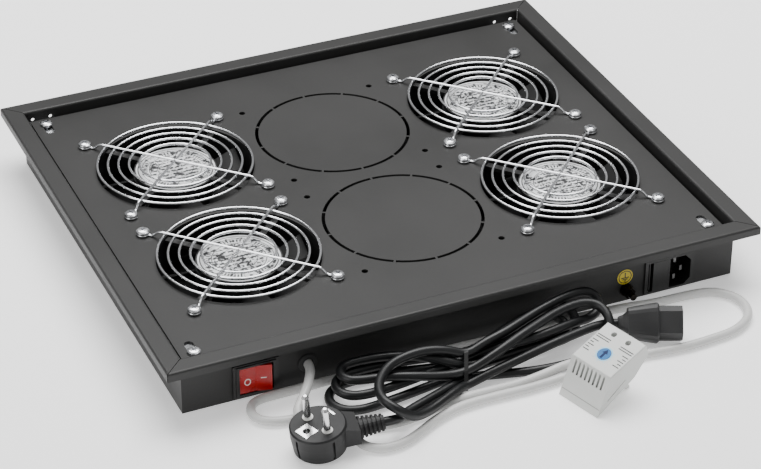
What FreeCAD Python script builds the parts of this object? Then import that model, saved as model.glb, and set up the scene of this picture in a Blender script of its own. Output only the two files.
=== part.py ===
import FreeCAD, Part
import math
import os

os.makedirs("parts", exist_ok=True)

V = FreeCAD.Vector

# ---- sheet-metal box with turned-out flange (all sizes in mm, floor at z = 0) ----
box_w = 417.0
box_d = 347.0
box_h = 44.5
sheet = 1.2
flange_out = 13.5
lip_h = 6.5
bend_r = 1.8
corner_slit = 0.5
slit_from_z = 30.0

# ---- removable fan panel ----
recess = 7.0
panel_t = 1.5
panel_gap = 3.2
panel_top = box_h - recess
panel_under = panel_top - panel_t
panel_w = box_w - 2 * sheet - 2 * panel_gap
panel_d = box_d - 2 * sheet - 2 * panel_gap

# ---- fan layout: three columns, two rows ----
fan_size = 119.6
column_gap = 5.7
row_gap = 10.4
column_pitch = fan_size + column_gap
row_pitch = fan_size + row_gap
hole_pitch = fan_size - 14.6
fan_hole_r = 2.3
fan_open_r = fan_size / 2 - 1.55
knock_slot_w = 2.5
knock_tabs = 12
knock_tab_w = 1.6
fan_spots = [(-1, 1), (-1, -1), (1, 1), (1, -1)]
spare_spots = [(0, 1), (0, -1)]

# ---- one 120 mm fan ----
fan_depth = 25.0
fan_top = panel_under
fan_base = fan_top - fan_depth
bore_r = fan_size / 2 - 1.9
duct_r = fan_size / 2
plate_t = 3.8
blade_count = 7
blade_tip_r = bore_r - 1.6
hub_r = 31.0
hub_wall = 1.8
motor_cap_r = 30.5
cap_t = 2.6
strut_w = 5.0
strut_t = 3.0
shaft_r = 1.6
bearing_r = 4.0
run_fit = 0.05
turn_gap = 1.2

# ---- wire guard ----
wire_d = 1.9
guard_ring_r = fan_open_r - 1.25
ring_step = 7.7
ring_count = 5
ring_lift = 3.8
eye_r = 3.9

# ---- screws ----
screw_head_r = 4.8
screw_head_h = 2.7
screw_shank_r = 2.0
fan_screw_len = 12.0
corner_x = box_w / 2 - 14.4
corner_y = box_d / 2 - 12.7
slot_w = 6.6
slot_in = corner_y - 13.5

# ---- things on the front wall ----
front_y = -box_d / 2
wall_in_y = front_y + sheet
lay_y = front_y + 173.5
unit_z = 15.0
switch_x = -156.2
switch_w = 33.0
switch_h = 26.0
rocker_w = 22.4
rocker_h = 20.4
rocker_tilt = -8.0
rocker_pin_r = 1.2
inlet_x = 157.0
inlet_w = 39.0
inlet_h = 27.4
grommet_x = -118.8
grommet_z = 16.3
cable_d = 6.5
stud_x = 123.5
stud_z = 9.4
sticker_x = 122.0
sticker_z = 20.3
sticker_r = 6.1

# ---- mains lead ----
lead_d = 6.6
plug_at = V(-139.5, -246.0 + lay_y, 2.48)
plug_turn = 19.5
plug_pitch = 6.6
neck_turn = -29.5
plug_h = 20.0
plug_r = 18.8
pin_pitch = 19.0
conn_face = V(135.0, -232.4 + lay_y, 14.9)
conn_turn = -23.75
conn_roll = 50.0

# ---- thermostat on its cable ----
stat_at = V(72.0, -240.5 + lay_y, 0.0)
stat_turn = 197.5
stat_w = 36.0
stat_high = 39.0
stat_tilt = 18.4
dial_r = 5.0


def save(name, solids):
    """one node per file, one or several loose solids"""
    shape = solids if not isinstance(solids, list) else Part.makeCompound(solids)
    shape.exportStep("parts/" + name + ".step")
    print(name, len(shape.Solids), "solids", round(shape.Volume, 1), "mm3")


def block(x0, x1, y0, y1, z0, z1):
    return Part.makeBox(x1 - x0, y1 - y0, z1 - z0, V(x0, y0, z0))


def rod(r, length, at, along=V(0, 0, 1)):
    return Part.makeCylinder(r, length, at, along)


def spun(points, at=V(0, 0, 0), along=V(0, 0, 1)):
    """solid of revolution; points are (radius, height) pairs"""
    ring = [V(r, 0, z) for r, z in points]
    face = Part.Face(Part.makePolygon(ring + [ring[0]]))
    solid = face.revolve(V(0, 0, 0), V(0, 0, 1), 360)
    solid.Placement = FreeCAD.Placement(at, FreeCAD.Rotation(V(0, 0, 1), along))
    return solid


def slab(points, depth):
    """prism of (x, y) points, from z = 0 up to depth"""
    ring = [V(x, y, 0) for x, y in points]
    return Part.Face(Part.makePolygon(ring + [ring[0]])).extrude(V(0, 0, depth))


def soft_box(w, d, h, r, at):
    """box with rounded upright edges, centred on x and y"""
    solid = block(-w / 2, w / 2, -d / 2, d / 2, 0, h)
    upright = [e for e in solid.Edges if abs(e.Vertexes[0].Z - e.Vertexes[-1].Z) > h / 2]
    solid = solid.makeFillet(r, upright)
    solid.translate(at)
    return solid


def six_points(r, turn=0.0):
    """corners of a hexagon"""
    angles = [math.radians(60 * k + turn) for k in range(6)]
    return [(r * math.cos(a), r * math.sin(a)) for a in angles]


def joined(solids):
    out = solids[0].multiFuse(solids[1:]) if len(solids) > 1 else solids[0]
    return out.removeSplitter()


def route(points, name):
    """straight runs joined by tangent arcs"""
    runs = [(points[i + 1] - points[i]).Length for i in range(len(points) - 1)]
    edges = []
    radii = []
    last = points[0]
    for i in range(1, len(points) - 1):
        here = points[i]
        back = (points[i - 1] - here).normalize()
        ahead = (points[i + 1] - here).normalize()
        half_turn = (math.pi - back.getAngle(ahead)) / 2
        cut = 0.45 * min(runs[i - 1], runs[i])
        radius = cut / math.tan(half_turn)
        middle = (back + ahead).normalize()
        centre = here + middle * (radius / math.cos(half_turn))
        start = here + back * cut
        end = here + ahead * cut
        edges.append(Part.LineSegment(last, start).toShape())
        edges.append(Part.Arc(start, centre - middle * radius, end).toShape())
        radii.append(round(radius, 1))
        last = end
    edges.append(Part.LineSegment(last, points[-1]).toShape())
    path = Part.Wire(edges)
    print(name, "length", round(path.Length, 1), "radii", radii)
    return path


def tube(points, dia, name):
    path = route(points, name)
    along = (points[1] - points[0]).normalize()
    ring = Part.Wire(Part.makeCircle(dia / 2, points[0], along))
    solid = path.makePipeShell([ring], True, False)
    want = math.pi * dia * dia / 4 * path.Length
    print(name, "volume", round(solid.Volume, 1), "against", round(want, 1))
    return solid


# ---------------------------------------------------------------- tray frame
def wall_profile():
    """bent sheet section: wall up, over the bend, flange out, lip down"""
    t = sheet
    r = bend_r
    top = box_h
    out = flange_out
    low = top - lip_h
    # local u = outward from the inner wall face, v = up
    pts = []
    pts.append((0, 0))
    pts.append((0, top - r))
    for k in range(1, 5):
        a = math.radians(90 * k / 5)
        pts.append((r - r * math.cos(a), top - r + r * math.sin(a)))
    pts.append((r, top))
    pts.append((t + out - r, top))
    for k in range(1, 5):
        a = math.radians(90 * k / 5)
        pts.append((t + out - r + r * math.sin(a), top - r + r * math.cos(a)))
    pts.append((t + out, top - r))
    pts.append((t + out, low))
    pts.append((out, low))
    pts.append((out, top - t))
    pts.append((t, top - t))
    pts.append((t, 0))
    return pts


def frame_side(length):
    """one side of the box along x, inner wall face at y = 0, outward = -y"""
    half = length / 2 + flange_out + 5
    ring = [V(-half, -u, v) for u, v in wall_profile()]
    side = Part.Face(Part.makePolygon(ring + [ring[0]])).extrude(V(2 * half, 0, 0))
    inner = length / 2 - sheet
    reach = 40.0
    wide = inner + reach
    mitre = slab([(-inner, 0), (inner, 0), (wide, -reach), (-wide, -reach)], box_h + 2)
    return side.common(mitre)


def tray_frame():
    sides = []
    for deg in (0, 90, 180, 270):
        length, off = (box_w, box_d) if deg in (0, 180) else (box_d, box_w)
        side = frame_side(length)
        side.translate(V(0, -(off / 2 - sheet), 0))
        side.rotate(V(0, 0, 0), V(0, 0, 1), deg)
        sides.append(side)
    frame = joined(sides)
    for sx in (-1, 1):
        for sy in (-1, 1):
            slit = block(-1, 30, -corner_slit / 2, corner_slit / 2, slit_from_z, box_h + 1)
            slit.rotate(V(0, 0, 0), V(0, 0, 1), math.degrees(math.atan2(sy, sx)))
            slit.translate(V(sx * (box_w / 2 - sheet - 0.5), sy * (box_d / 2 - sheet - 0.5), 0))
            frame = frame.cut(slit)
    holes = []
    holes.append(block(switch_x - 15.0, switch_x + 15.0, front_y - 1, front_y + 3, unit_z - 12, unit_z + 12))
    holes.append(block(inlet_x - 18.2, inlet_x + 18.2, front_y - 1, front_y + 3,
                       unit_z - 12.6, unit_z + 12.6))
    holes.append(rod(5.2, 6, V(grommet_x, front_y - 2, grommet_z), V(0, 1, 0)))
    holes.append(rod(2.6, 6, V(stud_x, front_y - 2, stud_z), V(0, 1, 0)))
    # pairs of small locating holes by each corner, in the front and rear walls
    for sx in (-1, 1):
        for off in (box_w / 2 - 21.3, box_w / 2 - 7.3):
            for y in (-box_d / 2 - 2, box_d / 2 - 4):
                holes.append(rod(1.4, 6, V(sx * off, y, panel_top - 0.3), V(0, 1, 0)))
    for hole in holes:
        frame = frame.cut(hole)
    return frame


# ---------------------------------------------------------------- fan panel
def knock_out(x, y):
    """ring slot broken by small tabs"""
    r_out = fan_open_r
    r_in = fan_open_r - knock_slot_w
    ring = rod(r_out, panel_t + 2, V(x, y, panel_under - 1)).cut(
        rod(r_in, panel_t + 4, V(x, y, panel_under - 2)))
    for k in range(knock_tabs // 2):
        bar = block(-r_out - 2, r_out + 2, -knock_tab_w / 2, knock_tab_w / 2, panel_under - 2, panel_top + 2)
        bar.rotate(V(0, 0, 0), V(0, 0, 1), k * 360.0 / knock_tabs)
        bar.translate(V(x, y, 0))
        ring = ring.cut(bar)
    return ring


def hole_spots(col, row):
    cx = col * column_pitch
    cy = row * row_pitch / 2
    h = hole_pitch / 2
    return [(cx + a * h, cy + b * h) for a in (-1, 1) for b in (-1, 1)]


def fan_panel():
    panel = soft_box(panel_w, panel_d, panel_t, 2.0, V(0, 0, panel_under))
    cuts = []
    for col, row in fan_spots:
        cuts.append(rod(fan_open_r, panel_t + 2, V(col * column_pitch, row * row_pitch / 2, panel_under - 1)))
    for col, row in spare_spots:
        cuts.append(knock_out(0, row * row_pitch / 2))
    for col, row in fan_spots + spare_spots:
        for x, y in hole_spots(col, row):
            cuts.append(rod(fan_hole_r, panel_t + 2, V(x, y, panel_under - 1)))
    for sx in (-1, 1):
        for sy in (-1, 1):
            y_in = sy * (slot_in + slot_w / 2)
            y_out = sy * (corner_y + 1.0)
            low = panel_under - 1
            cuts.append(block(sx * corner_x - slot_w / 2, sx * corner_x + slot_w / 2,
                              min(y_in, y_out), max(y_in, y_out), low, panel_top + 1))
            cuts.append(rod(slot_w / 2, panel_t + 2, V(sx * corner_x, y_in, low)))
            cuts.append(rod(slot_w / 2, panel_t + 2, V(sx * corner_x, y_out, low)))
    return panel.cut(Part.makeCompound(cuts))


def corner_brackets():
    """zinc angle under each panel corner, its tab down the end wall"""
    out = []
    plate_t_b = 1.5
    for sx in (-1, 1):
        for sy in (-1, 1):
            y_wall = sy * (box_d / 2 - sheet)
            y_in = sy * (box_d / 2 - sheet - 30.0)
            x0 = sx * corner_x - 10.0
            plate = block(x0, x0 + 20.0, min(y_wall, y_in), max(y_wall, y_in),
                          panel_under - plate_t_b, panel_under)
            y_tab = y_wall - sy * plate_t_b
            tab = block(x0, x0 + 20.0, min(y_wall, y_tab), max(y_wall, y_tab),
                        panel_under - 20.0, panel_under)
            both = joined([plate, tab])
            both = both.cut(rod(screw_shank_r + 0.05, 6, V(sx * corner_x, sy * corner_y, panel_under - 4)))
            out.append(both)
    return out


def pan_screw(length, at):
    """pan head with a cross recess; at = underside of the head"""
    r = screw_head_r
    h = screw_head_h
    dome = [(r, h * 0.35), (r * 0.93, h * 0.62), (r * 0.72, h * 0.86), (r * 0.36, h)]
    head = spun([(0, 0), (r, 0)] + dome + [(0, h)])
    shank = rod(screw_shank_r, length + 0.4, V(0, 0, -length))
    screw = joined([head, shank])
    for deg in (0, 90):
        bar = block(-2.5, 2.5, -0.5, 0.5, h - 1.5, h + 1)
        bar.rotate(V(0, 0, 0), V(0, 0, 1), deg + 20)
        screw = screw.cut(bar)
    screw.translate(at)
    return screw


def corner_screws():
    return [pan_screw(8.0, V(sx * corner_x, sy * corner_y, panel_top)) for sx in (-1, 1) for sy in (-1, 1)]


# ---------------------------------------------------------------- fans
def fan_frame(x, y):
    low = V(0, 0, fan_base)
    body = joined([soft_box(fan_size, fan_size, plate_t, 5.0, low),
                   soft_box(fan_size, fan_size, plate_t, 5.0, V(0, 0, fan_top - plate_t)),
                   rod(duct_r, fan_depth, low)])
    body = body.cut(rod(bore_r, fan_depth + 2, V(0, 0, fan_base - 1)))
    h = hole_pitch / 2
    for a in (-1, 1):
        for b in (-1, 1):
            body = body.cut(rod(screw_shank_r + 0.15, fan_depth + 2, V(a * h, b * h, fan_base - 1)))
    # four slanted struts carry the motor cap
    pieces = [body]
    for k in range(4):
        strut = block(motor_cap_r - 0.7, bore_r + 1.0, -strut_w / 2, strut_w / 2,
                      fan_top - strut_t - 0.2, fan_top - 0.2)
        strut.rotate(V(0, 0, 0), V(0, 0, 1), -14)
        strut.rotate(V(0, 0, 0), V(0, 0, 1), 45 + 90 * k + 10)
        pieces.append(strut)
    pieces.append(rod(motor_cap_r, cap_t, V(0, 0, cap_low_z)))
    pieces.append(rod(bearing_r, 15.0, V(0, 0, cap_low_z - 14.5)))
    frame = joined(pieces)
    frame = frame.cut(rod(shaft_r + run_fit, 20, V(0, 0, cap_low_z - 19.0)))
    frame.translate(V(x, y, 0))
    return frame


def fan_blade():
    """twisted blade: a lofted skin between a root and a tip section"""
    def section(r, lead, tilt, thick):
        a = math.radians(tilt)
        u = V(0, math.cos(a), math.sin(a))
        n = V(0, -math.sin(a), math.cos(a))
        mid = V(r, lead, blade_mid)
        long = blade_high / 2 / math.sin(a)
        ring = [mid - u * long, mid - u * long * 0.3 + n * 1.6, mid + u * long]
        ring += [mid + u * long - n * thick, mid - u * long * 0.3 + n * (1.6 - thick)]
        ring.append(mid - u * long - n * thick)
        return Part.makePolygon(ring + [ring[0]])
    root = section(hub_r - 1.2, 0, 50, 1.5)
    tip = section(blade_tip_r - 2.6, 7.5, 33, 1.3)
    return Part.makeLoft([root, tip], True, True)


cap_low_z = fan_top - 0.4 - cap_t
blade_low = fan_base + 2.6
blade_top = cap_low_z - turn_gap
blade_mid = (blade_low + blade_top) / 2
blade_high = blade_top - blade_low - 2.6


def fan_rotor(x, y):
    inner_r = hub_r - hub_wall
    cup = spun([(0, blade_low), (hub_r - 2.5, blade_low), (hub_r, blade_low + 2.5), (hub_r, blade_top),
                (inner_r, blade_top), (inner_r, blade_low + hub_wall), (0, blade_low + hub_wall)])
    boss = rod(4.2, 4.6, V(0, 0, blade_low))
    blade = fan_blade()
    pieces = [cup, boss]
    for k in range(blade_count):
        one = blade.copy()
        one.rotate(V(0, 0, 0), V(0, 0, 1), 360.0 * k / blade_count)
        pieces.append(one)
    rotor = joined(pieces)
    rotor = rotor.cut(rod(shaft_r, 4.0, V(0, 0, blade_low + 1.0)))
    rotor.translate(V(x, y, 0))
    return rotor


def fan_shaft(x, y):
    low = blade_low + 1.0
    return rod(shaft_r, cap_low_z + 0.8 - low, V(x, y, low))


def fan_motor(x, y):
    """stator stack with four wound poles round the bearing tube"""
    low = blade_low + 6.2
    tall = 11.0
    core = rod(12.0, tall, V(0, 0, low))
    pieces = [core]
    for k in range(4):
        pole = block(8.0, 24.0, -4.2, 4.2, low + 1.5, low + tall - 1.5)
        shoe = rod(26.5, tall - 1.0, V(0, 0, low + 0.5)).cut(rod(23.5, tall, V(0, 0, low)))
        shoe = shoe.common(block(12.0, 30.0, -13.0, 13.0, low, low + tall))
        coil = block(13.0, 22.5, -8.0, 8.0, low + 0.3, low + tall - 0.3)
        for piece in (pole, shoe, coil):
            piece.rotate(V(0, 0, 0), V(0, 0, 1), 90 * k)
            pieces.append(piece)
    motor = joined(pieces).cut(rod(bearing_r + run_fit, tall + 2, V(0, 0, low - 1)))
    motor.translate(V(x, y, 0))
    return motor


def fan_label(x, y):
    return rod(motor_cap_r - 1.2, 0.2, V(x, y, fan_top - 0.4))


def fan_guard(x, y):
    """five wire rings, two crossed arms on top of them, an eye under each screw head"""
    w = wire_d / 2
    ring_z = panel_top + ring_lift
    arm_z = ring_z + wire_d - 0.3
    eye_z = panel_top + w
    pieces = []
    for k in range(ring_count):
        pieces.append(Part.makeTorus(guard_ring_r - k * ring_step, w, V(0, 0, ring_z)))
    reach = hole_pitch / 2 * math.sqrt(2)
    for deg in (45, 135):
        near = reach - eye_r
        pts = [V(-near, 0, eye_z), V(-near + 4.2, 0, eye_z), V(-near + 8.6, 0, arm_z),
               V(near - 8.6, 0, arm_z), V(near - 4.2, 0, eye_z), V(near, 0, eye_z)]
        arm = tube(pts, wire_d, "guard arm")
        arm.rotate(V(0, 0, 0), V(0, 0, 1), deg)
        pieces.append(arm)
    h = hole_pitch / 2
    for a in (-1, 1):
        for b in (-1, 1):
            pieces.append(Part.makeTorus(eye_r, w, V(a * h, b * h, eye_z)))
    guard = joined(pieces)
    guard.translate(V(x, y, 0))
    return guard


def guard_screws():
    out = []
    for col, row in fan_spots:
        for x, y in hole_spots(col, row):
            out.append(pan_screw(fan_screw_len, V(x, y, panel_top + wire_d)))
    return out


def guard_nuts():
    out = []
    across = 7.0 / math.sqrt(3)
    for col, row in fan_spots:
        for x, y in hole_spots(col, row):
            nut = slab(six_points(across), 3.2).cut(rod(screw_shank_r + 0.05, 6, V(0, 0, -1)))
            nut.translate(V(x, y, fan_top - plate_t - 3.2))
            out.append(nut)
    return out


# ---------------------------------------------------------------- switch
pivot_y = front_y + 2.4


def switch_housing():
    hx = switch_w / 2
    hz = switch_h / 2
    bezel = block(-hx, hx, front_y - 1.8, front_y, -hz, hz)
    rim = block(-hx + 2.2, hx - 2.2, front_y - 2.6, front_y - 1.8, -hz + 1.2, hz - 1.2)
    body = block(-14.8, 14.8, front_y, front_y + 21.0, -11.8, 11.8)
    solid = joined([bezel, rim, body])
    well_w = rocker_w + 1.8
    well_h = rocker_h + 0.5
    well = block(-well_w / 2, well_w / 2, front_y - 3.5, front_y + 11.0, -well_h / 2, well_h / 2)
    solid = solid.cut(well)
    solid = solid.cut(rod(rocker_pin_r + run_fit, rocker_h + 2.6, V(0, pivot_y, -rocker_h / 2 - 1.3)))
    solid.translate(V(switch_x, 0, unit_z))
    return solid


def switch_rocker():
    """two faces meeting in a shallow valley, turning about an upright pin"""
    w = rocker_w / 2
    ring = [(-w, -5.6), (-w * 0.5, -5.0), (0, -4.2), (w * 0.5, -5.0), (w, -5.6), (w - 1.0, 0.5), (5.0, 5.0),
            (-5.0, 5.0), (-w + 1.0, 0.5)]
    body = slab(ring, rocker_h)
    pin = rod(rocker_pin_r, rocker_h + 2.2, V(0, 0, -1.1))
    body = joined([body, pin])
    body.translate(V(0, 0, -rocker_h / 2))
    body.rotate(V(0, 0, 0), V(0, 0, 1), rocker_tilt)
    body.translate(V(switch_x, pivot_y, unit_z))
    return body


def switch_terminals():
    out = []
    for dx in (-9.5, 0.0, 9.5):
        for dz in (-6.0, 6.0):
            if dx == 9.5:
                continue
            out.append(block(switch_x + dx - 0.4, switch_x + dx + 0.4, front_y + 21.0, front_y + 29.0,
                             unit_z + dz - 3.1, unit_z + dz + 3.1))
    return out


# ---------------------------------------------------------------- inlet
cavity_x = inlet_x + 8.5
cavity_w = 16.6
cavity_h = 24.2
cavity_deep = 17.0
drawer_x = inlet_x - 7.2
drawer_w = 12.0
drawer_h = 23.6


def cavity_block(grow, deep):
    """inlet hollow: two corners chamfered on the earth side"""
    w = cavity_w / 2 + grow
    h = cavity_h / 2 + grow
    c = 4.6
    ring = [(-w, -h), (w - c, -h), (w, -h + c), (w, h - c), (w - c, h), (-w, h)]
    solid = slab(ring, deep)
    solid.rotate(V(0, 0, 0), V(1, 0, 0), 90)
    solid.translate(V(cavity_x, front_y - 1.8 + deep, unit_z))
    return solid


def inlet_housing():
    face = block(inlet_x - inlet_w / 2, inlet_x + inlet_w / 2, front_y - 1.6, front_y,
                 unit_z - inlet_h / 2, unit_z + inlet_h / 2)
    body = block(inlet_x - 18.0, inlet_x + 18.0, front_y, front_y + 24.0, unit_z - 12.4, unit_z + 12.4)
    solid = joined([face, body])
    solid = solid.cut(cavity_block(0.0, cavity_deep))
    # drawer shaft, and the finger notch on its left
    gap = 0.15
    shaft_w = drawer_w / 2 + gap
    shaft_h = drawer_h / 2 + gap
    solid = solid.cut(block(drawer_x - shaft_w, drawer_x + shaft_w, front_y - 3, front_y + 19.0,
                            unit_z - shaft_h, unit_z + shaft_h))
    notch_l = drawer_x - drawer_w / 2 - 3.9
    solid = solid.cut(block(notch_l, drawer_x - drawer_w / 2, front_y - 3, front_y + 6.0,
                            unit_z - shaft_h, unit_z + shaft_h))
    for dx, dz in pin_spots:
        solid = solid.cut(block(cavity_x + dx - 1.03, cavity_x + dx + 1.03, front_y + 10, front_y + 26,
                                unit_z + dz - 2.03, unit_z + dz + 2.03))
    return solid


pin_spots = [(-2.2, 7.0), (-2.2, -7.0), (2.2, 0.0)]


def inlet_pins():
    out = []
    for dx, dz in pin_spots:
        tip = front_y + 1.8 if dx > 0 else front_y + 3.0
        out.append(block(cavity_x + dx - 1.0, cavity_x + dx + 1.0, tip, front_y + 30.0,
                         unit_z + dz - 2.0, unit_z + dz + 2.0))
    return out


def fuse_drawer():
    x0 = drawer_x - drawer_w / 2
    x1 = drawer_x + drawer_w / 2
    z0 = unit_z - drawer_h / 2
    z1 = unit_z + drawer_h / 2
    front = block(x0, x1, front_y - 1.7, front_y + 3.0, z0, z1)
    lip = block(x0 - 2.6, x0 - 1.8, front_y - 0.6, front_y + 4.0, z0, z1)
    web = block(x0 - 2.6, x0 + 1.0, front_y + 3.0, front_y + 4.0, z0, z1)
    back = block(x0 + 1.0, x1 - 1.0, front_y + 3.0, front_y + 18.0, z0 + 0.6, z1 - 0.6)
    solid = joined([front, lip, web, back])
    return solid.cut(block(x0 + 2.6, x1 - 2.6, front_y + 3.4, front_y + 8.8, z0 + 1.4, z1 + 2))


def fuse():
    """glass fuse lying in the drawer, metal cap at each end"""
    fuse_r = 2.5
    at = V(drawer_x, front_y + 6.1, unit_z - 10.1)
    return rod(fuse_r, 20.0, at)


# ---------------------------------------------------------------- small things on the wall
def cable_grommet():
    bore = cable_d / 2 + 0.3
    ring = [(bore, -1.8), (6.2, -1.8), (6.9, -1.0), (6.9, 0), (5.0, 0), (5.0, sheet), (6.9, sheet),
            (6.9, sheet + 1.4), (bore, sheet + 1.4)]
    return spun(ring, V(grommet_x, front_y, grommet_z), V(0, 1, 0))


def earth_stud():
    shank = rod(2.5, 17.0, V(stud_x, front_y - 11.5, stud_z), V(0, 1, 0))
    head = slab(six_points(4.6), 3.4)
    head.rotate(V(0, 0, 0), V(1, 0, 0), -90)
    head.translate(V(stud_x, wall_in_y, stud_z))
    return joined([shank, head])


def earth_washers():
    flat = rod(5.0, 1.0, V(stud_x, front_y - 1.0, stud_z), V(0, 1, 0))
    star = rod(4.5, 0.8, V(stud_x, front_y - 1.8, stud_z), V(0, 1, 0))
    bore = rod(2.55, 6.0, V(stud_x, front_y - 4.0, stud_z), V(0, 1, 0))
    return [flat.cut(bore), star.cut(bore)]


def earth_nut():
    nut = slab(six_points(4.6, 10), 4.0)
    nut.rotate(V(0, 0, 0), V(1, 0, 0), 90)
    nut.translate(V(stud_x, front_y - 1.8, stud_z))
    return nut.cut(rod(2.55, 8.0, V(stud_x, front_y - 7.0, stud_z), V(0, 1, 0)))


def earth_label():
    return rod(sticker_r, 0.15, V(sticker_x, front_y - 0.15, sticker_z), V(0, 1, 0))


# ---------------------------------------------------------------- wiring inside
block_x = 0.0
block_y = front_y + 24.5
block_low = panel_under - 13.0


def terminal_block():
    solid = block(block_x - 22, block_x + 22, block_y - 8, block_y + 8, block_low, panel_under)
    for k in range(4):
        x = block_x - 16.5 + 11.0 * k
        solid = solid.cut(rod(2.2, 4.0, V(x, block_y, block_low - 1)))
    return solid


def inner_wiring():
    """feed from the inlet, run to the switch, and one lead to each fan"""
    d = 3.0
    z = 23.0
    low = block_low + 5.0
    side = block_x + 22.0
    fan_l = -column_pitch + fan_size / 2
    # lanes left free in front of the fans and beside them
    lane = -row_pitch / 2 - fan_size / 2 - 9.8
    gap_x = -fan_l - 2.9
    wires = []
    feed = [V(cavity_x - 2.2, front_y + 30.0, unit_z + 6.5), V(cavity_x - 8, lane + 0.1, 22),
            V(133, lane + 1.4, 23.5), V(98, lane, 21.5), V(62, lane - 1.9, 23.0), V(38, lane - 8.4, 25.5),
            V(side, block_y + 2, low)]
    wires.append(tube(feed, d, "feed wire"))
    live = [V(-side, block_y + 4, low), V(-40, lane - 7.4, 26.0), V(-70, lane - 1.9, 24.0),
            V(-103, lane - 0.2, 22.5), V(-132, lane - 1.4, 23.0), V(switch_x + 6, lane - 5.4, 22.0),
            V(switch_x, front_y + 29.0, unit_z + 5.5)]
    wires.append(tube(live, d, "switch wire"))
    for sx in (-1, 1):
        near = [V(sx * side, block_y + 7, low + 4.5), V(sx * 36, lane - 5.9, 30.5),
                V(sx * 52, lane + 1.6, z + 5), V(sx * 70, lane + 5.1, z), V(sx * 84, lane + 9.8, z - 2)]
        wires.append(tube(near, d, "near fan lead"))
        far = [V(sx * 15, block_y + 8, block_low + 2.5), V(sx * 27, lane - 2.4, block_low + 1),
               V(sx * 46, lane + 0.1, 21.5), V(sx * (gap_x - 0.3), lane + 4.1, 20.5),
               V(sx * (gap_x + 0.3), -104.0, 21.5), V(sx * gap_x, -70.0, 20.0),
               V(sx * (gap_x - 0.3), -35.0, 21.5), V(sx * (gap_x + 0.2), 0.0, 20.5),
               V(sx * (gap_x - 0.7), 22.0, 22.5), V(sx * (-fan_l), 38.0, 22.0)]
        wires.append(tube(far, d, "far fan lead"))
    return wires


# ---------------------------------------------------------------- white cable
def white_cable():
    r = cable_d / 2
    f = r + 0.1
    pts = [V(block_x - 22.0, -152, block_low + 3.6), V(-38, -151.5, 21.5), V(-60, -151, 17.5),
           V(-84, -149, 14.6), V(-106, -151.2, 15.2), V(grommet_x, -162.0, grommet_z),
           V(grommet_x - 0.1, -185.0, grommet_z - 0.1), V(-124.5, -197.5, 15.3), V(-135.5, -206.3, 13.4),
           V(-143.4, -214.4, 10.8), V(-142.4, -222.6, 6.6), V(-133.2, -225.6, 4.0),
           V(-122.9, -229.8, f), V(-116.8, -238.6, f)]
    # under the plug's neck, along the front and round behind the thermostat
    pts += [V(-115.6, -249, f), V(-112.6, -259.5, f), V(-102.5, -265.8, f), V(-88, -265.2, f),
            V(-74, -258.8, f), V(-58, -249.8, f), V(-38, -243.3, f), V(-10, -243.2, f), V(16, -244.2, f),
            V(44, -242.0, f), V(72, -238.2, f), V(104, -240.2, f), V(130, -244.2, f), V(153, -243.0, f),
            V(176, -240.6, f)]
    # right loop, clear of the drawer's way out, and back along the wall
    pts += [V(193.5, -227.5, f), V(196.5, -207.0, f), V(183, -191.6, f), V(160, -189.3, f), V(138, -189.0, f),
            V(114, -185.0, f), V(88, -183.6, f), V(52, -182.0, f), V(14, -183.3, f), V(-26, -181.8, f),
            V(-64, -183.0, f), V(-102, -181.9, f), V(-130, -182.9, f), V(-147, -182.7, f),
            V(-157.5, -183.2, f)]
    # left loop, then the second strand up into the thermostat
    pts += [V(-165.0, -187.0, f), V(-168.6, -196.4, f), V(-165.0, -205.8, f), V(-155, -211.0, f),
            V(-143, -212.8, f), V(-131, -214.0, f), V(-121.4, -220.2, f), V(-110.5, -233.6, f), V(-95, -243.4, f),
            V(-70, -243.6, f), V(-46, -236.2, f), V(-18, -235.9, f), V(10, -236.8, f),
            V(32, -235.4, f + 1.2), V(48, -238.5, 8.6), V(60, -244.8, 14.6), V(66.8, -249.6, 20.0)]
    pts = [p + V(0, lay_y, 0) for p in pts]
    return tube(pts, cable_d, "white cable")


# ---------------------------------------------------------------- thermostat
def stat_place(shape):
    """housing frame: x down the face, y across it, z out of the face"""
    shape.rotate(V(0, 0, 0), V(0, 1, 0), stat_tilt)
    shape.translate(V(0, 0, stat_high))
    shape.rotate(V(0, 0, 0), V(0, 0, 1), stat_turn)
    shape.translate(stat_at)
    return shape


stat_face = 34.8
stat_profile = [(0, 0), (34.8, 0), (41.6, -8.3), (54.0, -23.0), (52.4, -23.3), (17.9, -18.3), (10.0, -14.0),
                (0.6, -9.0)]
clip_profile = [(16.0, -17.2), (15.0, -35.8), (18.5, -34.7), (20.0, -28.5), (31.0, -26.8), (31.5, -20.0)]


def side_prism(profile, y0, y1):
    ring = [V(x, y0, z) for x, z in profile]
    return Part.Face(Part.makePolygon(ring + [ring[0]])).extrude(V(0, y1 - y0, 0))


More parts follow.
